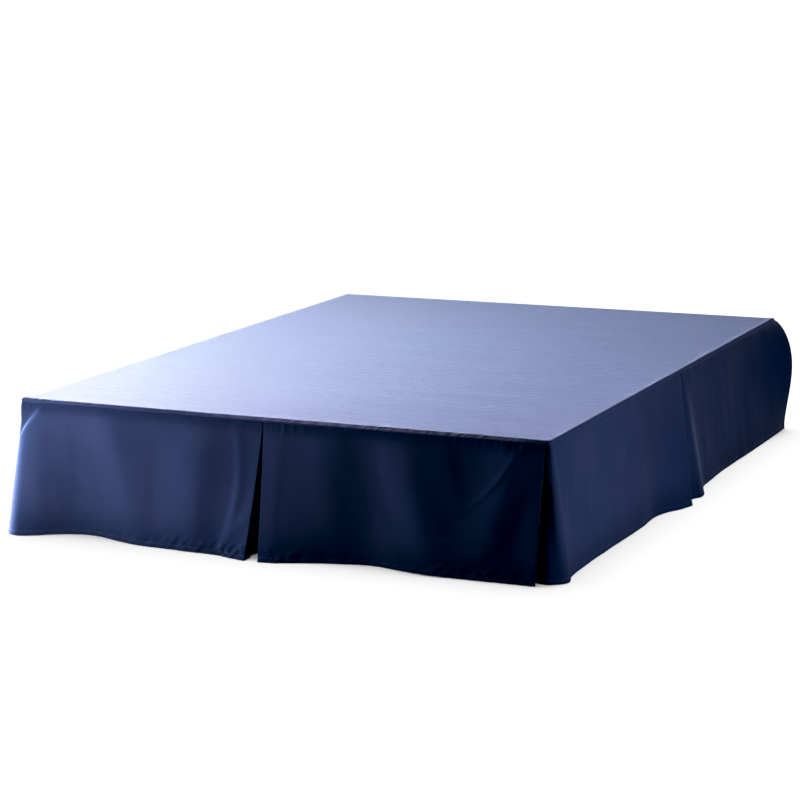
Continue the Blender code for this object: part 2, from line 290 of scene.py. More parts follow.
class Finish:
    """A material made from a Principled shader, with one method that adds any other node."""

    def __init__(self, name, **values):
        self.material = bpy.data.materials.new(name)
        self.material.use_nodes = True
        self.tree = self.material.node_tree
        self.shader = self.tree.nodes["Principled BSDF"]
        for key, value in values.items():
            self.shader.inputs[key.replace("_", " ")].default_value = value

    def node(self, kind, settings=None, values=None, output=0):
        """Adds a node of a kind, with its settings, then the values or links of its sockets."""
        added = self.tree.nodes.new(kind)
        for key, value in (settings or {}).items():
            setattr(added, key, value)
        for key, value in (values or {}).items():
            if isinstance(value, Wire):
                self.tree.links.new(value.socket, added.inputs[key])
            else:
                added.inputs[key].default_value = value
        return Wire(self, added.outputs[output])

    def feed(self, socket, wire):
        """Links a wire to one of the shader's sockets."""
        self.tree.links.new(wire.socket, self.shader.inputs[socket])

    def emboss(self, relief, strength, depth):
        """Feeds a relief to the shader's normal."""
        values = {"Strength": strength, "Distance": depth, "Height": relief}
        self.feed("Normal", self.node("ShaderNodeBump", {}, values))

    def blend(self, factor, low, high):
        """A colour between two, by a factor. Sockets 6, 7 and output 2 of a mix node are its colours."""
        colours = [colour if isinstance(colour, Wire) else (*colour, 1.0) for colour in (low, high)]
        values = {"Factor": factor, 6: colours[0], 7: colours[1]}
        return self.node("ShaderNodeMix", {"data_type": "RGBA"}, values, 2)

    def own_map(self):
        """A place on the piece's own map, in metres."""
        return self.node("ShaderNodeUVMap", {"uv_map": "cloth"})

    def own_frame(self):
        """A place in the object's own frame, in metres."""
        return self.node("ShaderNodeTexCoord", {}, {}, "Object")

    def axes(self, place):
        """The three coordinates of a place."""
        return tuple(self.node("ShaderNodeSeparateXYZ", {}, {0: place}, axis) for axis in range(3))

    def noise(self, place, scale, detail=3.0, stretch=(1.0, 1.0, 1.0)):
        """Soft noise over a place, each of whose coordinates is multiplied by its stretch first."""
        scaled = self.node("ShaderNodeVectorMath", {"operation": "MULTIPLY"}, {0: place, 1: stretch})
        return self.node("ShaderNodeTexNoise", {}, {"Vector": scaled, "Scale": scale, "Detail": detail})


def navy_cloth(name, use):
    """Navy plain weave for the deck, a side panel or a foot panel.

    The weave is the product of two sines, one along each map axis. Slubs are noise stretched far along the
    weft, and the deck's streaks are broader noise, stretched a little. Painted shade darkens a panel toward
    its hem, a foot panel toward its seam and the deck's lip. A painted highlight lightens the foot rim where
    slanting noise is high, between two heights and two places along it. A panel's stitches are dashes in a
    band at its hem's top.
    """
    cloth = Finish(
        name,
        Roughness=CLOTH_ROUGHNESS,
        Sheen_Weight=SHEEN,
        Sheen_Roughness=SHEEN_SPREAD,
        Sheen_Tint=SHEEN_TINT,
        Specular_IOR_Level=0.0,
    )
    place = cloth.own_map()
    along, above = cloth.axes(place)[:2]
    turn = 2.0 * np.pi / THREAD_PITCH
    weave = (along * turn).sine() * (above * turn).sine()
    slubs = cloth.noise(place, 1.0, 3.0, SLUBS) - 0.5
    tone = (slubs * SLUB_TONE + cloth.noise(place, DRIFT, 2.0)).ramp(*WORN)
    colour = cloth.blend(tone, NAVY, NAVY_WORN)
    relief = weave * WEAVE_RELIEF + slubs * SLUB_RELIEF
    if use == "deck":
        x, y, z = cloth.axes(cloth.own_frame())
        # Painted shade on the deck's lip, under the rim, in front of LIP_FRONT.
        painted_shade = (1.0 - z.ramp(*LIP_PAINTED_SHADE)) * y.below(LIP_FRONT)
        relief = relief + (cloth.noise(place, 1.0, 3.0, STREAKS) - 0.5) * STREAK_RELIEF
        # Painted highlight: the foot rim's gathers are lightened where the roll catches light.
        slanted = cloth.node("ShaderNodeCombineXYZ", {}, {"X": x + z * RIM_SHEEN_SLANT})
        gathers = cloth.noise(slanted, 1.0, 1.0, RIM_SHEEN_GATHERS).ramp(*RIM_SHEEN_TONE)
        rim = z.plateau(*RIM_SHEEN_HEIGHT) * y.below(RIM_SHEEN_FRONT) * x.plateau(*RIM_SHEEN_RUN)
        colour = cloth.blend(rim * gathers, colour, RIM_PAINTED_SHEEN)
    else:
        # Painted shade toward the hem, near the floor.
        painted_shade = 1.0 - above.ramp(*HEM_PAINTED_SHADE)
        if use == "foot":
            # Painted shade toward the foot panel's seam under the deck's edge, with a step that is partly the
            # allowance's own tone.
            painted_shade = painted_shade + above.ramp(*ALLOWANCE_TONE_AND_SHADE) * ALLOWANCE_SHARE + above.ramp(*SEAM_PAINTED_SHADE) * SEAM_SHARE
    # Lays the painted shade over the cloth's colour.
    colour = cloth.blend(painted_shade, colour, NAVY_PAINTED_SHADE)
    if use != "deck":
        band = (above - STITCH_HEIGHT).distance().below(STITCH_WIDTH / 2)
        stitch = band * (along / STITCH_LENGTH).fraction().below(STITCH_SHARE)
        colour = cloth.blend(stitch, colour, STITCH_COLOUR)
        relief = relief + stitch * STITCH_RELIEF
    cloth.feed("Base Color", colour)
    cloth.emboss(relief, CLOTH_BUMP, CLOTH_BUMP_DEPTH)
    return cloth.material


# The deck's copy carries the painted lip shade and rim highlight. The panels' copies carry the painted hem
# shade, and the foot's also the painted seam shade.
NAVY_DECK = navy_cloth("navy_cloth_deck", "deck")
NAVY_FOOT = navy_cloth("navy_cloth_foot", "foot")
NAVY_SIDE = navy_cloth("navy_cloth_side", "side")


def grid_piece(name, points, across, height, material):
    """A cloth from a grid of points (rows, columns, xyz), with its map in metres and CLOTH's thickness."""
    rows, columns = points.shape[:2]
    corner = np.arange(rows * columns).reshape(rows, columns)
    around = (corner[:-1, :-1], corner[:-1, 1:], corner[1:, 1:], corner[1:, :-1])
    quads = np.stack(around, axis=-1).reshape(-1, 4)
    mesh = bpy.data.meshes.new(name)
    mesh.vertices.add(rows * columns)
    mesh.vertices.foreach_set("co", points.reshape(-1))
    mesh.loops.add(quads.size)
    mesh.loops.foreach_set("vertex_index", quads.reshape(-1))
    mesh.polygons.add(len(quads))
    mesh.polygons.foreach_set("loop_start", np.arange(0, quads.size, 4))
    mesh.update(calc_edges=True)
    mesh.validate()
    mesh.shade_smooth()
    layer = mesh.uv_layers.new(name="cloth")
    flat = np.stack([across, height], axis=-1).reshape(-1, 2)
    layer.data.foreach_set("uv", flat[quads.reshape(-1)].reshape(-1))
    mesh.materials.append(material)
    piece = bpy.data.objects.new(name, mesh)
    bpy.context.scene.collection.objects.link(piece)
    wall = piece.modifiers.new("cloth", "SOLIDIFY")
    wall.thickness = CLOTH
    wall.offset = 0.0
    edges = piece.modifiers.new("edges", "WEIGHTED_NORMAL")
    edges.weight = EDGE_WEIGHT
    return piece


# ---------------------------------------------------------------------------------------------------------
# Deck: the platform cloth, one piece of the navy cloth that lies on the base under the mattress. Its edge is
# rolled over the base's edge and turned down to the seam. It is slack, with a few long shallow wrinkles, and
# its foot rim is gathered.
# ---------------------------------------------------------------------------------------------------------
CAD_CLOTH = 0.0016
deck_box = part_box("deck")
HALF_WIDTH = deck_box[1].x - CAD_CLOTH / 2
HALF_LENGTH = deck_box[1].y - CAD_CLOTH / 2
DECK_TOP = deck_box[1].z
DECK_WIDTH = 2 * HALF_WIDTH
DECK_LENGTH = 2 * HALF_LENGTH
EDGE_GROWTH = CAD_CLOTH / 2 - CLOTH / 2
DECK_CELL_ACROSS = 0.0044
DECK_CELL_ALONG = 0.026
EDGE_PACK = 1.35

# The roll over the edge is a quarter of an ellipse, wider at the foot than at the sides. The lip hangs from
# it, down to LIP_DEPTH.
FOOT_ROLL = 0.012
SIDE_ROLL = 0.006
ROLL_DROP = 0.0078
ROLL_ARC = 0.016
ROLL_STEPS = 9
LIP_DEPTH = 0.0085
LIP_STEPS = 2

# How far the rim sags below level, at even steps along each edge: from the left at the foot, and from the
# foot at the sides.
SEAM_DIPS = {
    "foot": (0.000, 0.0030, -0.0006, -0.0010, 0.0000, 0.0012, -0.0012, 0.0014, -0.0014),
    "right": (-0.0014, 0.0004, 0.0010, -0.0004, -0.0010, 0.0006, -0.0004, -0.0006, -0.0020),
    "left": (0.000, 0.0010, -0.0006, 0.0008, -0.0010, 0.0004, -0.0008, 0.0006, 0.000),
}

# The low swell of the flat cloth along the foot and right rims, where the seam pushes it up.
RIM_RISE = 0.0012
RIM_REACH = 0.013
RIM_EVENNESS = 0.6
RIM_CELL = (0.11, 0.13)
RIM_SEED = 5

# The shallow unevenness of the slack cloth, which fades out over the last SLACK_EDGE before the rim.
SLACK_HEIGHT = 0.00025
SLACK_CELL = (0.22, 0.06)
SLACK_EDGE = 0.03
SLACK_SEED = 3

# A soft ridge in cloth, or a trough where its height is negative. Its crest runs from one point of the
# piece's map to another, across and up in metres, and its middle may bow to the left of that run. It falls
# away over one width on the left of the run and another on the right.
Ridge = namedtuple("Ridge", "from_x from_y to_x to_y left_width right_width height bow", defaults=(0.0,))
RIDGE_END_POWER = 0.6
DECK_RIDGES = (
    Ridge(-0.735, -0.996, -0.600, -1.014, 0.005, 0.005, -0.0005),
    Ridge(-0.60, -0.70, 0.45, -0.64, 0.030, 0.030, 0.0002, 0.02),
    Ridge(-0.30, -0.30, 0.62, -0.36, 0.035, 0.035, 0.0002, -0.03),
    Ridge(-0.66, 0.10, 0.20, 0.02, 0.045, 0.045, 0.0002, 0.02),
    Ridge(-0.10, 0.45, 0.66, 0.52, 0.045, 0.045, 0.0002, -0.02),
    Ridge(-0.70, 0.75, 0.30, 0.70, 0.050, 0.050, 0.0002, 0.03),
)

# A stretch of an edge where the cloth is gathered, ruffled or puckered: the place of its middle along the
# edge, its spread and its height. On the rim, places run from the left end of the foot.
Gather = namedtuple("Gather", "middle spread height")
RIM_GATHERS = (
    Gather(1.32, 0.13, 0.0016),
    Gather(1.08, 0.14, 0.0012),
    Gather(0.78, 0.06, 0.0010),
    Gather(0.06, 0.05, 0.0012),
    Gather(0.35, 0.25, 0.0004),
)
GATHER_CELL = (0.0065, 1.0)
GATHER_SLANT = 0.8
GATHER_REACH = 0.006
GATHER_LEAD = 2.0
GATHER_SEED = 7

# How far the cloth is drawn out and up at the foot's left corner, how far round it, and how far down a panel.
CORNER_PUSH = 0.0085
CORNER_RISE = 0.0020
CORNER_REACH = 0.030
CORNER_DEPTH = 0.048

# The cells along each side of the random lattice, and the cell at which a map's origin lies.
LATTICE = 64
LATTICE_START = 17.0


def bell(distance, reach):
    """1 at no distance, and less over a reach: e to the power of minus the square of their quotient."""
    return np.exp(-((distance / reach) ** 2))


def smooth_step(part):
    """A rise from 0 to 1 that is level at both ends: three squares less two cubes."""
    return part * part * (3.0 - 2.0 * part)


def seam_dip(side, fraction):
    """The seam's dip at a fraction of the way along an edge, a smooth curve through that edge's dips."""
    dips = np.array(SEAM_DIPS[side])
    place = np.clip(fraction, 0.0, 1.0) * (len(dips) - 1)
    low = np.minimum(np.floor(place).astype(int), len(dips) - 2)
    share = smooth_step(place - low)
    return dips[low] * (1.0 - share) + dips[low + 1] * share


def ridged(across, height, ridges):
    """How far each point of a map is raised by its ridges.

    A ridge's cross-section is two half bells, one for each side's width. Its height fades to nothing at both
    ends as a half sine to a small power, and its crest is bowed by a parabola.
    """
    raised = np.zeros_like(across)
    for ridge in ridges:
        run_x = ridge.to_x - ridge.from_x
        run_y = ridge.to_y - ridge.from_y
        length = np.hypot(run_x, run_y)
        run_x /= length
        run_y /= length
        off_x = across - ridge.from_x
        off_y = height - ridge.from_y
        part = (off_x * run_x + off_y * run_y) / length
        inside = np.clip(part, 0.0, 1.0)
        beyond = (part - inside) * length
        left = off_y * run_x - off_x * run_y - ridge.bow * 4.0 * inside * (1.0 - inside)
        width = np.where(left > 0.0, ridge.left_width, ridge.right_width)
        ends = np.sin(np.pi * inside) ** RIDGE_END_POWER
        raised += ridge.height * bell(np.hypot(left, beyond), width) * ends
    return raised


def soft_noise(across, height, cell, seed):
    """Random heights from -1 to 1 on a lattice of cells (across, up), joined by smooth steps."""
    heights = np.random.default_rng(seed).uniform(-1.0, 1.0, (LATTICE, LATTICE))
    x = across / cell[0] + LATTICE_START
    y = height / cell[1] + LATTICE_START
    column = np.floor(x).astype(int)
    row = np.floor(y).astype(int)
    x = smooth_step(x - column)
    y = smooth_step(y - row)
    columns = (column % LATTICE, (column + 1) % LATTICE)
    rows = (row % LATTICE, (row + 1) % LATTICE)
    low = heights[columns[0], rows[0]] * (1.0 - x) + heights[columns[1], rows[0]] * x
    high = heights[columns[0], rows[1]] * (1.0 - x) + heights[columns[1], rows[1]] * x
    return low * (1.0 - y) + high * y


def gathering(along, gathers):
    """The height of an edge's gathers at places along it: the sum of a bell for each."""
    return sum(gather.height * bell(along - gather.middle, gather.spread) for gather in gathers)


def corner_bell(x, y):
    """A bell over the distance from the foot's left corner, where the cloth is drawn out and up."""
    return bell(np.hypot(x + HALF_WIDTH, y + HALF_LENGTH), CORNER_REACH)


def edge_places(half, roll, cell):
    """Grid places from edge to edge, and how many steps past the flat middle each lies.

    The middle's places are the sines of even steps, so that they lie closer together near the rim. All steps
    of a roll and a lip are placed at the end of the middle, because the roll itself moves them out.
    """
    core = half - roll
    steps = np.linspace(-EDGE_PACK, EDGE_PACK, int(2 * core / cell) + 1)
    middle = core * np.sin(steps) / np.sin(EDGE_PACK)
    rim = np.arange(1, ROLL_STEPS + LIP_STEPS + 1)
    place = np.concatenate([np.full(len(rim), -core), middle, np.full(len(rim), core)])
    return place, np.concatenate([-rim[::-1], np.zeros_like(middle), rim])


def rim_gathers(x, y, ring):
    """How far the foot's roll stands out in gathers.

    It is the height of the gathers, times noise along the rim that slants as it goes over, times a bell over
    the distance behind the roll and half a sine over the steps of the roll.
    """
    arc = np.minimum(ring, ROLL_STEPS) / ROLL_STEPS * ROLL_ARC
    folds = soft_noise(x + GATHER_SLANT * arc, np.zeros_like(y), GATHER_CELL, GATHER_SEED)
    near_foot = bell(np.maximum(y + HALF_LENGTH - FOOT_ROLL, 0.0), GATHER_REACH)
    over = np.clip((ring + GATHER_LEAD) / (ROLL_STEPS + GATHER_LEAD), 0.0, 1.0)
    return gathering(x + HALF_WIDTH, RIM_GATHERS) * folds * near_foot * np.sin(np.pi * over)


def deck_surface():
    """The deck's points and the two directions of its map.

    Each ring of the grid round the flat middle has a further share of a quarter turn. It lies out by the roll
    times the sine of that angle, and down by the drop times one less its cosine. The last rings are the lip.
    The rim sags by its dips and stands out in its gathers, the flat is raised by its wrinkles and swell, and
    a bell draws the corner out and up.
    """
    across, across_step = edge_places(HALF_WIDTH + EDGE_GROWTH, SIDE_ROLL, DECK_CELL_ACROSS)
    length, length_step = edge_places(HALF_LENGTH + EDGE_GROWTH, FOOT_ROLL, DECK_CELL_ALONG)
    core_x, core_y = np.meshgrid(across, length)
    step_x, step_y = np.meshgrid(across_step, length_step)
    ring = np.maximum(abs(step_x), abs(step_y))
    rolled = np.minimum(ring, ROLL_STEPS) / ROLL_STEPS
    angle = rolled * np.pi / 2
    direction = np.hypot(step_x, step_y) + (ring == 0)
    x = core_x + step_x / direction * SIDE_ROLL * np.sin(angle)
    y = core_y + step_y / direction * FOOT_ROLL * np.sin(angle)
    lip = np.clip((ring - ROLL_STEPS) / LIP_STEPS, 0.0, 1.0)
    drop = ROLL_DROP * (1.0 - np.cos(angle)) + lip * (LIP_DEPTH - ROLL_DROP)

    foot_dip = seam_dip("foot", (x + HALF_WIDTH) / DECK_WIDTH)
    up_the_bed = (y + HALF_LENGTH) / DECK_LENGTH
    side_dip = seam_dip("right", up_the_bed) * (step_x > 0) + seam_dip("left", up_the_bed) * (step_x < 0)
    dip = np.where(step_y < 0, foot_dip, side_dip)

    to_edge = np.minimum(HALF_WIDTH - abs(x), HALF_LENGTH - abs(y))
    slack = soft_noise(x, y, SLACK_CELL, SLACK_SEED) * np.clip(to_edge / SLACK_EDGE, 0.0, 1.0)
    swell = RIM_EVENNESS + (1.0 - RIM_EVENNESS) * soft_noise(x, y, RIM_CELL, RIM_SEED)
    swell *= bell(y + HALF_LENGTH, RIM_REACH) + bell(x - HALF_WIDTH, RIM_REACH)
    raised = ridged(x, y, DECK_RIDGES) + SLACK_HEIGHT * slack + RIM_RISE * swell

    gathers = rim_gathers(x, y, ring)
    y = y - gathers * np.sin(angle)
    z = DECK_TOP - CLOTH / 2 - drop - dip * rolled + raised * (ring < ROLL_STEPS) + gathers * np.cos(angle)
    drawn = corner_bell(x, y)
    z += CORNER_RISE * drawn * (1.0 - lip)
    return np.stack([x - CORNER_PUSH * drawn, y, z], axis=-1), x, y


deck = grid_piece("deck_cloth", *deck_surface(), NAVY_DECK)
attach(deck, "root")
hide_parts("deck")

# ---------------------------------------------------------------------------------------------------------
# Drop panels, of the navy cloth. Each hangs from its seam under the deck's rim to the floor, cut straight,
# hemmed at the bottom and flaring as it hangs. A panel is a loft whose every line of cloth runs from the seam
# to the hem.
# ---------------------------------------------------------------------------------------------------------
# A line of a panel's cloth in the panel's own side frame: "along" runs with the deck's edge and "out" is away
# from the bed. BEHIND is the out of cloth that passes behind another panel. A shoulder is how far the cloth
# stands out in an extra curve, most a third of the way down, where SHOULDER_PEAK makes that curve 1.
Fold = namedtuple("Fold", "seam_along seam_out hem_along hem_out shoulder", defaults=(0.0,))
BEHIND = -0.0035
COLUMN_WIDTH = 0.0036
ROWS = 84
ROW_PACK = 1.25
FLARE_POWER = 1.15
SHOULDER_PEAK = 4.19
SHOULDER_RISE = 0.75
SHOULDER_FALL = 1.5
SHOULDER_LIFT = 0.012

# The seam. The panel's top edge lies SEAM_GAP up behind the lip, and the cloth is tucked in over TUCK_DEPTH.
# The seam holds the ridges flat, and coarse and fine ruffles fade out below it.
SEAM_GAP = 0.0009
SEAM_TOP = DECK_TOP - LIP_DEPTH - SEAM_GAP
SEAM_HOLD = 0.020
TUCK_DEPTH = 0.008
TUCK_IN = 0.0024
RUFFLE_HEIGHT = 0.0002
RUFFLE_FADE = 0.022
RUFFLE_CELL = (0.0085, 0.05)
FINE_RUFFLE_SHARE = 0.6
FINE_RUFFLE_CELL = (0.004, 0.03)

# The slight unevenness of the hanging cloth.
SLOUCH_HEIGHT = 0.0005
SLOUCH_CELL = (0.045, 0.12)

# The hem: a turned band, thicker than the cloth, dented and puckered by the stitches along its top. Coarse
# puckers lean one way and fine ones the other.
HEM_CLEARANCE = 0.001
HEM_HOLD = 0.5
HEM_HOLD_HEIGHT = 0.05
HEM_BAND = 0.0120
HEM_THICKNESS = 0.0004
HEM_EDGE = 0.0016
STITCH_DENT = 0.0006
DENT_SPREAD = 0.003
DENT_CELL = (0.006, 1.0)
PUCKER = 0.0003
PUCKER_HEIGHT = 0.016
PUCKER_REACH = 0.019
PUCKER_LEAN = 1.1
PUCKER_CELL = (0.0085, 0.030)
FINE_PUCKER_SHARE = 0.5
FINE_PUCKER_LEAN = 0.4
FINE_PUCKER_CELL = (0.0130, 0.012)


def smooth_folds(folds):
    """Lines of cloth between and through the folds, COLUMN_WIDTH apart at the hem, and their place along it.

    Each column of the table is a cubic Hermite curve over the distance along the hem, whose slope at a fold
    is that of the chord between its two neighbours.
    """
    rows = np.array(folds)
    steps = np.linalg.norm(np.diff(rows[:, 2:4], axis=0), axis=1)
    place = np.concatenate([[0.0], np.cumsum(steps)])
    slope = np.empty_like(rows)
    slope[1:-1] = (rows[2:] - rows[:-2]) / (place[2:] - place[:-2])[:, None]
    slope[0] = (rows[1] - rows[0]) / steps[0]
    slope[-1] = (rows[-1] - rows[-2]) / steps[-1]
    fine = np.linspace(0.0, place[-1], int(place[-1] / COLUMN_WIDTH) + 2)
    index = np.clip(np.searchsorted(place, fine, side="right") - 1, 0, len(steps) - 1)
    step = steps[index][:, None]
    part = (fine - place[index])[:, None] / step
    square = part**2
    cube = part**3
    lines = (
        (2 * cube - 3 * square + 1) * rows[index]
        + (cube - 2 * square + part) * step * slope[index]
        + (3 * square - 2 * cube) * rows[index + 1]
        + (cube - square) * step * slope[index + 1]
    )
    return lines, fine


def on_side(side, along, out):
    """Plan position of a point in a side's own frame: out adds to the deck's half length or half width."""
    if side == "foot":
        return along, -HALF_LENGTH - out
    sign = 1.0 if side == "right" else -1.0
    return sign * (HALF_WIDTH + out), along - HALF_LENGTH


def hanging_cloth(side, folds):
    """A panel's cloth without its creases: points, places along the hem and depths below the seam.

    Each line of cloth runs straight down while its plan position goes from seam to hem by the flare's power
    and stands out at the shoulder, by a power of the way down times a power of the way left. The foot's left
    corner draws the cloth out as it does the deck. Rows lie closer together at the top.
    """
    lines, place = smooth_folds(folds)
    seam_along, seam_out, hem_along, hem_out, shoulder = lines.T[:, None, :]
    down = np.linspace(0.0, 1.0, ROWS)[:, None] ** np.linspace(ROW_PACK, 1.0, ROWS)[:, None]
    flare = down**FLARE_POWER
    bulge = shoulder * SHOULDER_PEAK * down**SHOULDER_RISE * (1.0 - down) ** SHOULDER_FALL
    along = seam_along + (hem_along - seam_along) * flare
    out = seam_out + (hem_out - seam_out) * flare + bulge
    x, y = on_side(side, along, out)

    start, length = (-HALF_WIDTH, DECK_WIDTH) if side == "foot" else (0.0, DECK_LENGTH)
    seam_z = SEAM_TOP - seam_dip(side, (seam_along - start) / length) + shoulder * SHOULDER_LIFT
    z = seam_z + (HEM_CLEARANCE - seam_z) * down
    depth = seam_z - z
    drawn = corner_bell(*on_side(side, seam_along, seam_out)) * bell(depth, CORNER_DEPTH)
    points = np.stack([x - CORNER_PUSH * drawn, y, z], axis=-1)
    return points, np.broadcast_to(place, z.shape), depth


def grid_normals(points):
    """Unit normals of a grid of points, the cross product of its two directions."""
    normal = np.cross(np.gradient(points, axis=0), np.gradient(points, axis=1))
    return normal / np.linalg.norm(normal, axis=-1, keepdims=True)


def creases(across, z, depth, ridges, ruffles, puckers, seed):
    """How far each point of a panel stands out from its smooth cloth.

    The ridges are held down by bells at the seam and the hem. The ruffles are noise under a bell at the seam.
    The hem's band is a short ramp in height, and its dent and puckers are noise under bells round its top.
    """
    raised = ridged(across, z, ridges)
    raised *= 1.0 - bell(depth, SEAM_HOLD)
    raised *= 1.0 - HEM_HOLD * bell(z, HEM_HOLD_HEIGHT)
    raised += SLOUCH_HEIGHT * soft_noise(across, z, SLOUCH_CELL, seed)
    ruffle = soft_noise(across, z, RUFFLE_CELL, seed + 1)
    ruffle += FINE_RUFFLE_SHARE * soft_noise(across, z, FINE_RUFFLE_CELL, seed + 2)
    raised += ruffle * bell(depth, RUFFLE_FADE) * (RUFFLE_HEIGHT + gathering(across, ruffles))
    raised += HEM_THICKNESS * np.clip((HEM_BAND + HEM_EDGE / 2 - z) / HEM_EDGE, 0.0, 1.0)
    pull = 1.0 + soft_noise(across, z, DENT_CELL, seed + 3)
    raised -= STITCH_DENT * bell(z - HEM_BAND, DENT_SPREAD) * pull
    pucker = soft_noise(across - PUCKER_LEAN * z, z, PUCKER_CELL, seed + 4)
    pucker += FINE_PUCKER_SHARE * soft_noise(across + FINE_PUCKER_LEAN * z, z, FINE_PUCKER_CELL, seed + 5)
    raised += (PUCKER + gathering(across, puckers)) * pucker * bell(z - PUCKER_HEIGHT, PUCKER_REACH)
    return raised


def drop_surface(side, folds, ridges, ruffles, puckers, seed):
    """A panel's points and map: its cloth, moved out along its normals by its creases and in by its tuck.

    The tuck is the square of one less the depth over TUCK_DEPTH, and it moves points in level alone. The top
    edge is then lifted behind the deck's lip.
    """
    cloth, across, depth = hanging_cloth(side, folds)
    z = cloth[..., 2]
    outward = grid_normals(cloth)
    if side == "left":
        outward = -outward
    level = outward * (1.0, 1.0, 0.0)
    level /= np.linalg.norm(level, axis=-1, keepdims=True)
    raised = creases(across, z, depth, ridges, ruffles, puckers, seed)
    tuck = TUCK_IN * np.clip(1.0 - depth / TUCK_DEPTH, 0.0, 1.0) ** 2
    points = cloth + outward * raised[..., None] - level * tuck[..., None]
    points[0, :, 2] += SEAM_GAP
    return points, across, z


def hang(name, node, side, folds, seed, ridges=(), ruffles=(), puckers=()):
    """Makes a drop panel, which stands for its solid and hangs from the deck."""
    points, across, z = drop_surface(side, folds, ridges, ruffles, puckers, seed)
    if side == "left":
        points, across, z = points[:, ::-1], across[:, ::-1], z[:, ::-1]
    panel = grid_piece(name, points, across, z, NAVY_FOOT if side == "foot" else NAVY_SIDE)
    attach(panel, "root")
    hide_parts(node)


# Foot side, left of the centre pleat. Its outer end goes round the corner; along is x, out is -y.
LEFT_EDGE = -HALF_WIDTH
FOOT_PLEAT = -0.029
PLEAT_SLIT = 0.0008
FOOT_LEFT = (
    Fold(LEFT_EDGE, -0.045, -0.7920, -0.0615, 0.002),
    Fold(LEFT_EDGE, -0.025, -0.7930, -0.0115, 0.003),
    Fold(LEFT_EDGE, -0.010, -0.7900, 0.0335, 0.003),
    Fold(-0.760, -0.002, -0.7810, 0.0680, 0.004),
    Fold(-0.754, 0.0, -0.7620, 0.0885, 0.005),
    Fold(-0.740, 0.0, -0.7340, 0.0965, 0.006),
    Fold(-0.712, 0.0, -0.694, 0.0790, 0.005),
    Fold(-0.675, 0.0, -0.645, 0.0455),
    Fold(-0.620, 0.0, -0.590, 0.0235),
    Fold(-0.555, 0.0, -0.530, 0.0215),
    Fold(-0.465, 0.0, -0.445, 0.0455),
    Fold(-0.370, 0.0, -0.365, 0.0655),
    Fold(-0.250, 0.0, -0.240, 0.0705),
    Fold(-0.150, 0.0, -0.145, 0.0755),
    Fold(-0.080, 0.0, -0.085, 0.0905),
    Fold(FOOT_PLEAT - PLEAT_SLIT, 0.0, -0.041, 0.102),
)
FOOT_LEFT_RIDGES = (
    Ridge(0.240, 0.352, 0.142, 0.268, 0.011, 0.028, -0.0095),
    Ridge(0.290, -0.040, 0.272, 0.360, 0.100, 0.058, 0.0150),
    Ridge(0.552, -0.040, 0.462, 0.375, 0.085, 0.052, 0.0130),
    Ridge(0.618, 0.010, 0.604, 0.308, 0.022, 0.055, -0.0030),
    Ridge(0.735, -0.060, 0.750, 0.360, 0.075, 0.048, 0.0125),
    Ridge(0.831, 0.023, 0.834, 0.339, 0.014, 0.016, 0.0040, -0.028),
    Ridge(0.800, -0.006, 0.905, 0.119, 0.016, 0.016, 0.0034),
    Ridge(0.345, 0.108, 0.335, 0.332, 0.030, 0.016, 0.0020),
)
hang(
    "foot_panel_left_cloth",
    "foot_panel_left",
    "foot",
    FOOT_LEFT,
    seed=11,
    ridges=FOOT_LEFT_RIDGES,
    ruffles=(Gather(0.840, 0.050, 0.0008), Gather(0.180, 0.030, 0.0010)),
    puckers=(Gather(0.86, 0.08, 0.0050), Gather(0.66, 0.18, 0.0018)),
)

# Foot side, right of the centre pleat, to the corner split.
FOOT_RIGHT = (
    Fold(FOOT_PLEAT + PLEAT_SLIT, 0.0, -0.003, 0.100),
    Fold(0.020, 0.0, 0.038, 0.0935),
    Fold(0.090, 0.0, 0.098, 0.0705),
    Fold(0.170, 0.0, 0.182, 0.0405),
    Fold(0.270, 0.0, 0.285, 0.0215),
    Fold(0.360, 0.0, 0.368, 0.0355),
    Fold(0.450, 0.0, 0.455, 0.0485),
    Fold(0.550, 0.0, 0.560, 0.0525),
    Fold(0.660, 0.0, 0.660, 0.052),
    Fold(0.7475, 0.0, 0.742, 0.048),
)
FOOT_RIGHT_RIDGES = (
    Ridge(0.030, 0.023, 0.048, 0.345, 0.030, 0.012, 0.0013),
    Ridge(0.196, -0.020, 0.182, 0.370, 0.078, 0.070, 0.0130),
    Ridge(0.300, 0.108, 0.205, 0.347, 0.030, 0.018, 0.0014),
    Ridge(0.500, -0.060, 0.378, 0.360, 0.100, 0.082, 0.0240),
    Ridge(0.556, 0.152, 0.496, 0.347, 0.038, 0.030, 0.0062),
    Ridge(0.555, 0.160, 0.697, 0.335, 0.006, 0.008, 0.0026, -0.018),
    Ridge(0.592, 0.013, 0.712, 0.390, 0.070, 0.042, 0.0170, -0.014),
    Ridge(0.768, -0.040, 0.752, 0.260, 0.036, 0.020, 0.0100),
)
hang(
    "foot_panel_right_cloth",
    "foot_panel_right",
    "foot",
    FOOT_RIGHT,
    seed=21,
    ridges=FOOT_RIGHT_RIDGES,
    ruffles=(Gather(0.675, 0.035, 0.0034), Gather(0.560, 0.060, 0.0012), Gather(0.060, 0.050, 0.0016)),
    puckers=(Gather(0.06, 0.08, 0.0026), Gather(0.55, 0.20, 0.0026)),
)

# The cloth seen inside the centre foot pleat, seamed behind the two panels.
FOOT_UNDERLAY = (
    Fold(FOOT_PLEAT - 0.002, BEHIND, -0.042, 0.0995),
    Fold(-0.024, BEHIND, -0.043, 0.068),
    Fold(-0.016, BEHIND, -0.050, 0.044),
    Fold(-0.004, BEHIND, -0.042, 0.024),
    Fold(0.012, BEHIND, -0.018, 0.013),
    Fold(0.045, BEHIND, 0.030, 0.010),
    Fold(0.085, BEHIND, 0.080, 0.011),
)
hang("foot_pleat_underlay_cloth", "foot_pleat_underlay", "foot", FOOT_UNDERLAY, seed=31)

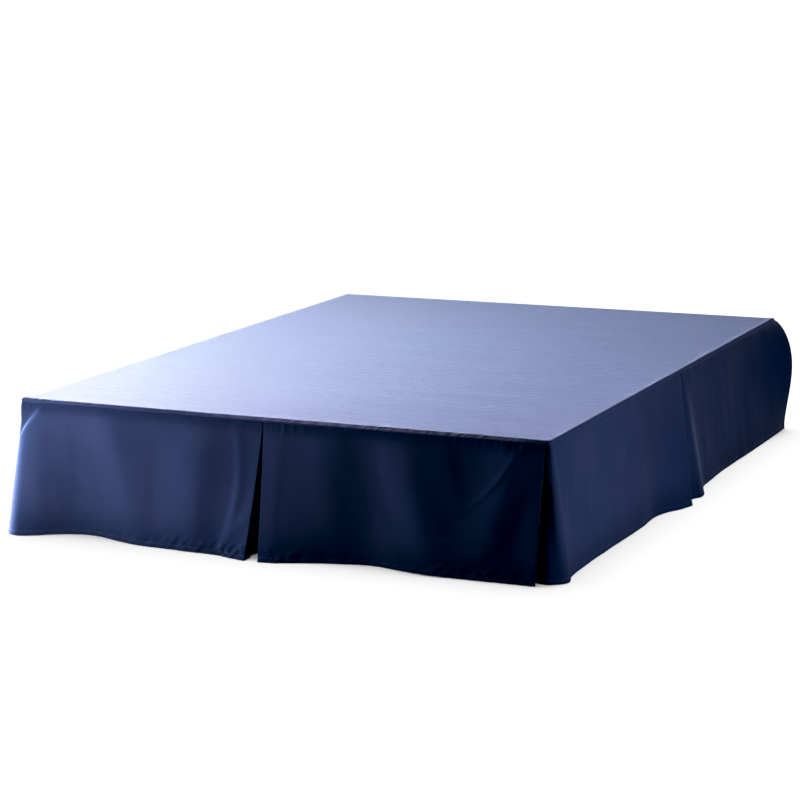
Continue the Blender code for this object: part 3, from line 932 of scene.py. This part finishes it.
# Right side, near part. Its near end is folded round the corner behind the foot panel; along is measured
# from the foot edge and out is +x.
RIGHT_NEAR = (
    Fold(-BEHIND, -0.085, -0.004, -0.0935),
    Fold(-BEHIND, -0.055, -0.012, -0.0565),
    Fold(-BEHIND, -0.030, -0.020, -0.0255),
    Fold(-BEHIND, -0.014, -0.024, -0.0015),
    Fold(0.0040, -0.006, -0.018, 0.0125),
    Fold(0.0065, -0.001, -0.006, 0.0275),
    Fold(0.0130, 0.0, 0.006, 0.0365),
    Fold(0.024, 0.0, 0.024, 0.041),
    Fold(0.040, 0.0, 0.046, 0.036),
    Fold(0.065, 0.0, 0.072, 0.0285),
    Fold(0.120, 0.0, 0.122, 0.026),
    Fold(0.250, 0.0, 0.250, 0.0245),
    Fold(0.420, 0.0, 0.418, 0.0275),
    Fold(0.560, 0.0, 0.552, 0.031),
    Fold(0.660, 0.0, 0.645, 0.0315),
    Fold(0.760, 0.0, 0.735, 0.0285),
    Fold(0.850, 0.0, 0.793, 0.0415),
    Fold(0.930, 0.0, 0.840, 0.0655),
    Fold(1.034, 0.0, 0.900, 0.0845),
)
RIGHT_NEAR_RIDGES = (
    Ridge(0.153, -0.030, 0.112, 0.360, 0.024, 0.034, 0.0085),
    Ridge(0.223, 0.013, 0.218, 0.281, 0.030, 0.012, 0.0016),
    Ridge(0.285, 0.185, 0.282, 0.339, 0.035, 0.012, 0.0014),
    Ridge(0.490, -0.010, 0.367, 0.218, 0.022, 0.050, 0.0028, 0.026),
    Ridge(0.220, 0.071, 0.310, 0.015, 0.008, 0.008, -0.0016),
    Ridge(0.600, 0.086, 0.640, 0.218, 0.012, 0.012, 0.0006),
    Ridge(0.990, -0.020, 0.985, 0.250, 0.045, 0.030, -0.0046),
)
hang(
    "right_panel_near_cloth",
    "right_panel_near",
    "right",
    RIGHT_NEAR,
    seed=41,
    ridges=RIGHT_NEAR_RIDGES,
    puckers=(Gather(0.14, 0.08, 0.0006),),
)

# Right side, far part. Its near end is folded in behind the near part.
RIGHT_FAR = (
    Fold(0.960, BEHIND, 0.860, 0.0425),
    Fold(1.000, BEHIND, 0.905, 0.0515),
    Fold(1.030, BEHIND, 0.948, 0.0575),
    Fold(1.045, -0.0030, 0.980, 0.0635),
    Fold(1.055, -0.0008, 1.000, 0.075),
    Fold(1.066, 0.0, 1.026, 0.076),
    Fold(1.080, 0.0, 1.055, 0.0705),
    Fold(1.100, 0.0, 1.085, 0.0575),
    Fold(1.135, 0.0, 1.130, 0.044),
    Fold(1.220, 0.0, 1.210, 0.039),
    Fold(1.360, 0.0, 1.350, 0.0345),
    Fold(1.500, 0.0, 1.495, 0.0365),
    Fold(1.660, 0.0, 1.655, 0.0405),
    Fold(1.820, 0.0, 1.815, 0.0425, 0.010),
    Fold(1.950, 0.0, 1.940, 0.043, 0.030),
    Fold(DECK_LENGTH, 0.0, 2.020, 0.0425, 0.0477),
)
RIGHT_FAR_RIDGES = (
    Ridge(0.560, 0.000, 0.540, 0.300, 0.060, 0.050, 0.0012),
    Ridge(0.830, 0.000, 0.800, 0.250, 0.050, 0.060, 0.0010),
)
hang(
    "right_panel_far_cloth",
    "right_panel_far",
    "right",
    RIGHT_FAR,
    seed=51,
    ridges=RIGHT_FAR_RIDGES,
)

# Left side, near part. Its near end is folded in behind the cloth that comes round the corner; out is -x.
LEFT_NEAR = (
    Fold(0.006, BEHIND, -0.030, 0.009),
    Fold(0.025, BEHIND, 0.010, 0.016),
    Fold(0.045, BEHIND, 0.045, 0.021),
    Fold(0.058, -0.0028, 0.075, 0.027),
    Fold(0.072, 0.0, 0.095, 0.036),
    Fold(0.100, 0.0, 0.125, 0.036),
    Fold(0.170, 0.0, 0.190, 0.026),
    Fold(0.300, 0.0, 0.310, 0.022),
    Fold(0.450, 0.0, 0.450, 0.036),
    Fold(0.600, 0.0, 0.600, 0.027),
    Fold(0.740, 0.0, 0.730, 0.031),
    Fold(0.860, 0.0, 0.845, 0.043),
    Fold(0.950, 0.0, 0.925, 0.058),
    Fold(1.004, 0.0, 0.965, 0.064),
)
LEFT_NEAR_RIDGES = (
    Ridge(0.300, -0.020, 0.270, 0.330, 0.060, 0.050, 0.0045),
    Ridge(0.560, 0.020, 0.600, 0.340, 0.055, 0.070, 0.0040),
    Ridge(0.830, -0.020, 0.800, 0.300, 0.050, 0.045, 0.0050),
)
hang(
    "left_panel_near_cloth",
    "left_panel_near",
    "left",
    LEFT_NEAR,
    seed=61,
    ridges=LEFT_NEAR_RIDGES,
)

# Left side, far part, folded in behind the near part.
LEFT_FAR = (
    Fold(0.935, BEHIND, 0.900, 0.033),
    Fold(0.970, BEHIND, 0.945, 0.040),
    Fold(1.000, BEHIND, 0.985, 0.048),
    Fold(1.016, -0.0028, 1.010, 0.058),
    Fold(1.028, 0.0, 1.032, 0.065),
    Fold(1.045, 0.0, 1.060, 0.062),
    Fold(1.080, 0.0, 1.100, 0.048),
    Fold(1.160, 0.0, 1.170, 0.035),
    Fold(1.300, 0.0, 1.300, 0.031),
    Fold(1.460, 0.0, 1.460, 0.042),
    Fold(1.620, 0.0, 1.620, 0.032),
    Fold(1.780, 0.0, 1.780, 0.040, 0.004),
    Fold(1.920, 0.0, 1.920, 0.043, 0.016),
    Fold(DECK_LENGTH, 0.0, 2.024, 0.041, 0.030),
)
LEFT_FAR_RIDGES = (
    Ridge(0.340, -0.020, 0.310, 0.330, 0.060, 0.055, 0.0040),
    Ridge(0.640, 0.000, 0.680, 0.330, 0.060, 0.060, 0.0045),
    Ridge(0.900, -0.020, 0.880, 0.280, 0.050, 0.055, 0.0035),
)
hang(
    "left_panel_far_cloth",
    "left_panel_far",
    "left",
    LEFT_FAR,
    seed=71,
    ridges=LEFT_FAR_RIDGES,
)

# ---------------------------------------------------------------------------------------------------------
# Bed base: a plain box that stands under the deck and carries it. It is upholstered in off-white ticking
# with thin stripes, and a stitched welt runs round its bottom edge. It keeps its solid.
# ---------------------------------------------------------------------------------------------------------
TICKING_ROUGHNESS = 0.85
TICKING = (0.54, 0.53, 0.50)
TICKING_LIGHT = (0.66, 0.65, 0.62)
TICKING_MOTTLE = 30.0
TICKING_TONE = (0.35, 0.65)
WEAVE_PITCH = 0.0016
WEAVE_TONE = 0.05
STRIPE = (0.20, 0.24, 0.33)
STRIPE_PITCH = 0.036
STRIPE_SHARE = 0.05
WELT = (0.45, 0.44, 0.42)
WELT_HEIGHT = 0.012
WELT_WIDTH = 0.006
WELT_STITCH = (0.75, 0.74, 0.70)
WELT_STITCH_WIDTH = WELT_WIDTH / 4
WELT_STITCH_LENGTH = 0.008
WELT_STITCH_SHARE = 0.7
TICKING_RELIEF = 0.3
WELT_RELIEF = 1.5
TICKING_BUMP = 0.4
TICKING_BUMP_DEPTH = 0.0006


def ticking():
    """Off-white plain weave with thin blue-grey stripes along the bed, and a stitched welt round the bottom.

    The weave is the sum of the products of the sines of two axes. A stripe is where the fraction of the place
    across, over the pitch, is small. The welt is a band of heights, dashed by the place round the sides.
    """
    cloth = Finish("ticking", Roughness=TICKING_ROUGHNESS)
    place = cloth.own_frame()
    x, y, z = cloth.axes(place)
    turn = 2.0 * np.pi / WEAVE_PITCH
    weave = (x * turn).sine() * (y * turn).sine() + ((x + y) * turn).sine() * (z * turn).sine()
    tone = (cloth.noise(place, TICKING_MOTTLE) + weave * WEAVE_TONE).ramp(*TICKING_TONE)
    colour = cloth.blend(tone, TICKING, TICKING_LIGHT)
    colour = cloth.blend((x / STRIPE_PITCH).fraction().below(STRIPE_SHARE), colour, STRIPE)
    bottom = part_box("bed_base")[0].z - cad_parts["bed_base"].matrix_world.translation.z
    from_welt = (z - (bottom + WELT_HEIGHT)).distance()
    welt = from_welt.below(WELT_WIDTH / 2)
    dash = ((x + y) / WELT_STITCH_LENGTH).fraction().below(WELT_STITCH_SHARE)
    stitch = from_welt.below(WELT_STITCH_WIDTH / 2) * dash
    colour = cloth.blend(welt, colour, WELT)
    cloth.feed("Base Color", cloth.blend(stitch, colour, WELT_STITCH))
    cloth.emboss(weave * TICKING_RELIEF + welt * WELT_RELIEF - stitch, TICKING_BUMP, TICKING_BUMP_DEPTH)
    return cloth.material


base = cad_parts["bed_base"]
base.data.materials.clear()
base.data.materials.append(ticking())

# ---------------------------------------------------------------------------------------------------------
# Legs: seven turned legs that stand under the base and carry it. They are of wood, stained dark and lightly
# lacquered. They keep their solids.
# ---------------------------------------------------------------------------------------------------------
WOOD_ROUGHNESS = 0.42
LACQUER = 0.15
WOOD_DARK = (0.018, 0.010, 0.006)
WOOD_LIGHT = (0.070, 0.040, 0.024)
GRAIN = (150.0, 150.0, 9.0)
PORES = (900.0, 900.0, 60.0)
GRAIN_SHARE = 0.8
PORE_SHARE = 0.2
GRAIN_TONE = (0.35, 0.65)
DARK_ROUGHNESS = 0.5
LIGHT_SHINE = 0.14
LATHE_PITCH = 0.0035
PORE_RELIEF = 0.6
GRAIN_RELIEF = 0.3
RING_RELIEF = 0.1
WOOD_BUMP = 0.3
WOOD_BUMP_DEPTH = 0.0005


def dark_wood():
    """Stained wood: long grain and fine pores are noise stretched up the leg, and turning's rings a sine."""
    wood = Finish("dark_wood", Roughness=WOOD_ROUGHNESS, Coat_Weight=LACQUER)
    place = wood.own_frame()
    grain = wood.noise(place, 1.0, 4.0, GRAIN)
    pores = wood.noise(place, 1.0, 2.0, PORES)
    tone = (grain * GRAIN_SHARE + pores * PORE_SHARE).ramp(*GRAIN_TONE)
    wood.feed("Base Color", wood.blend(tone, WOOD_DARK, WOOD_LIGHT))
    wood.feed("Roughness", DARK_ROUGHNESS - tone * LIGHT_SHINE)
    rings = (wood.axes(place)[2] * (2.0 * np.pi / LATHE_PITCH)).sine()
    relief = pores * PORE_RELIEF + grain * GRAIN_RELIEF + rings * RING_RELIEF
    wood.emboss(relief, WOOD_BUMP, WOOD_BUMP_DEPTH)
    return wood.material


WOOD = dark_wood()
for node_name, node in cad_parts.items():
    if node_name.startswith("leg_"):
        node.data.materials.clear()
        node.data.materials.append(WOOD)
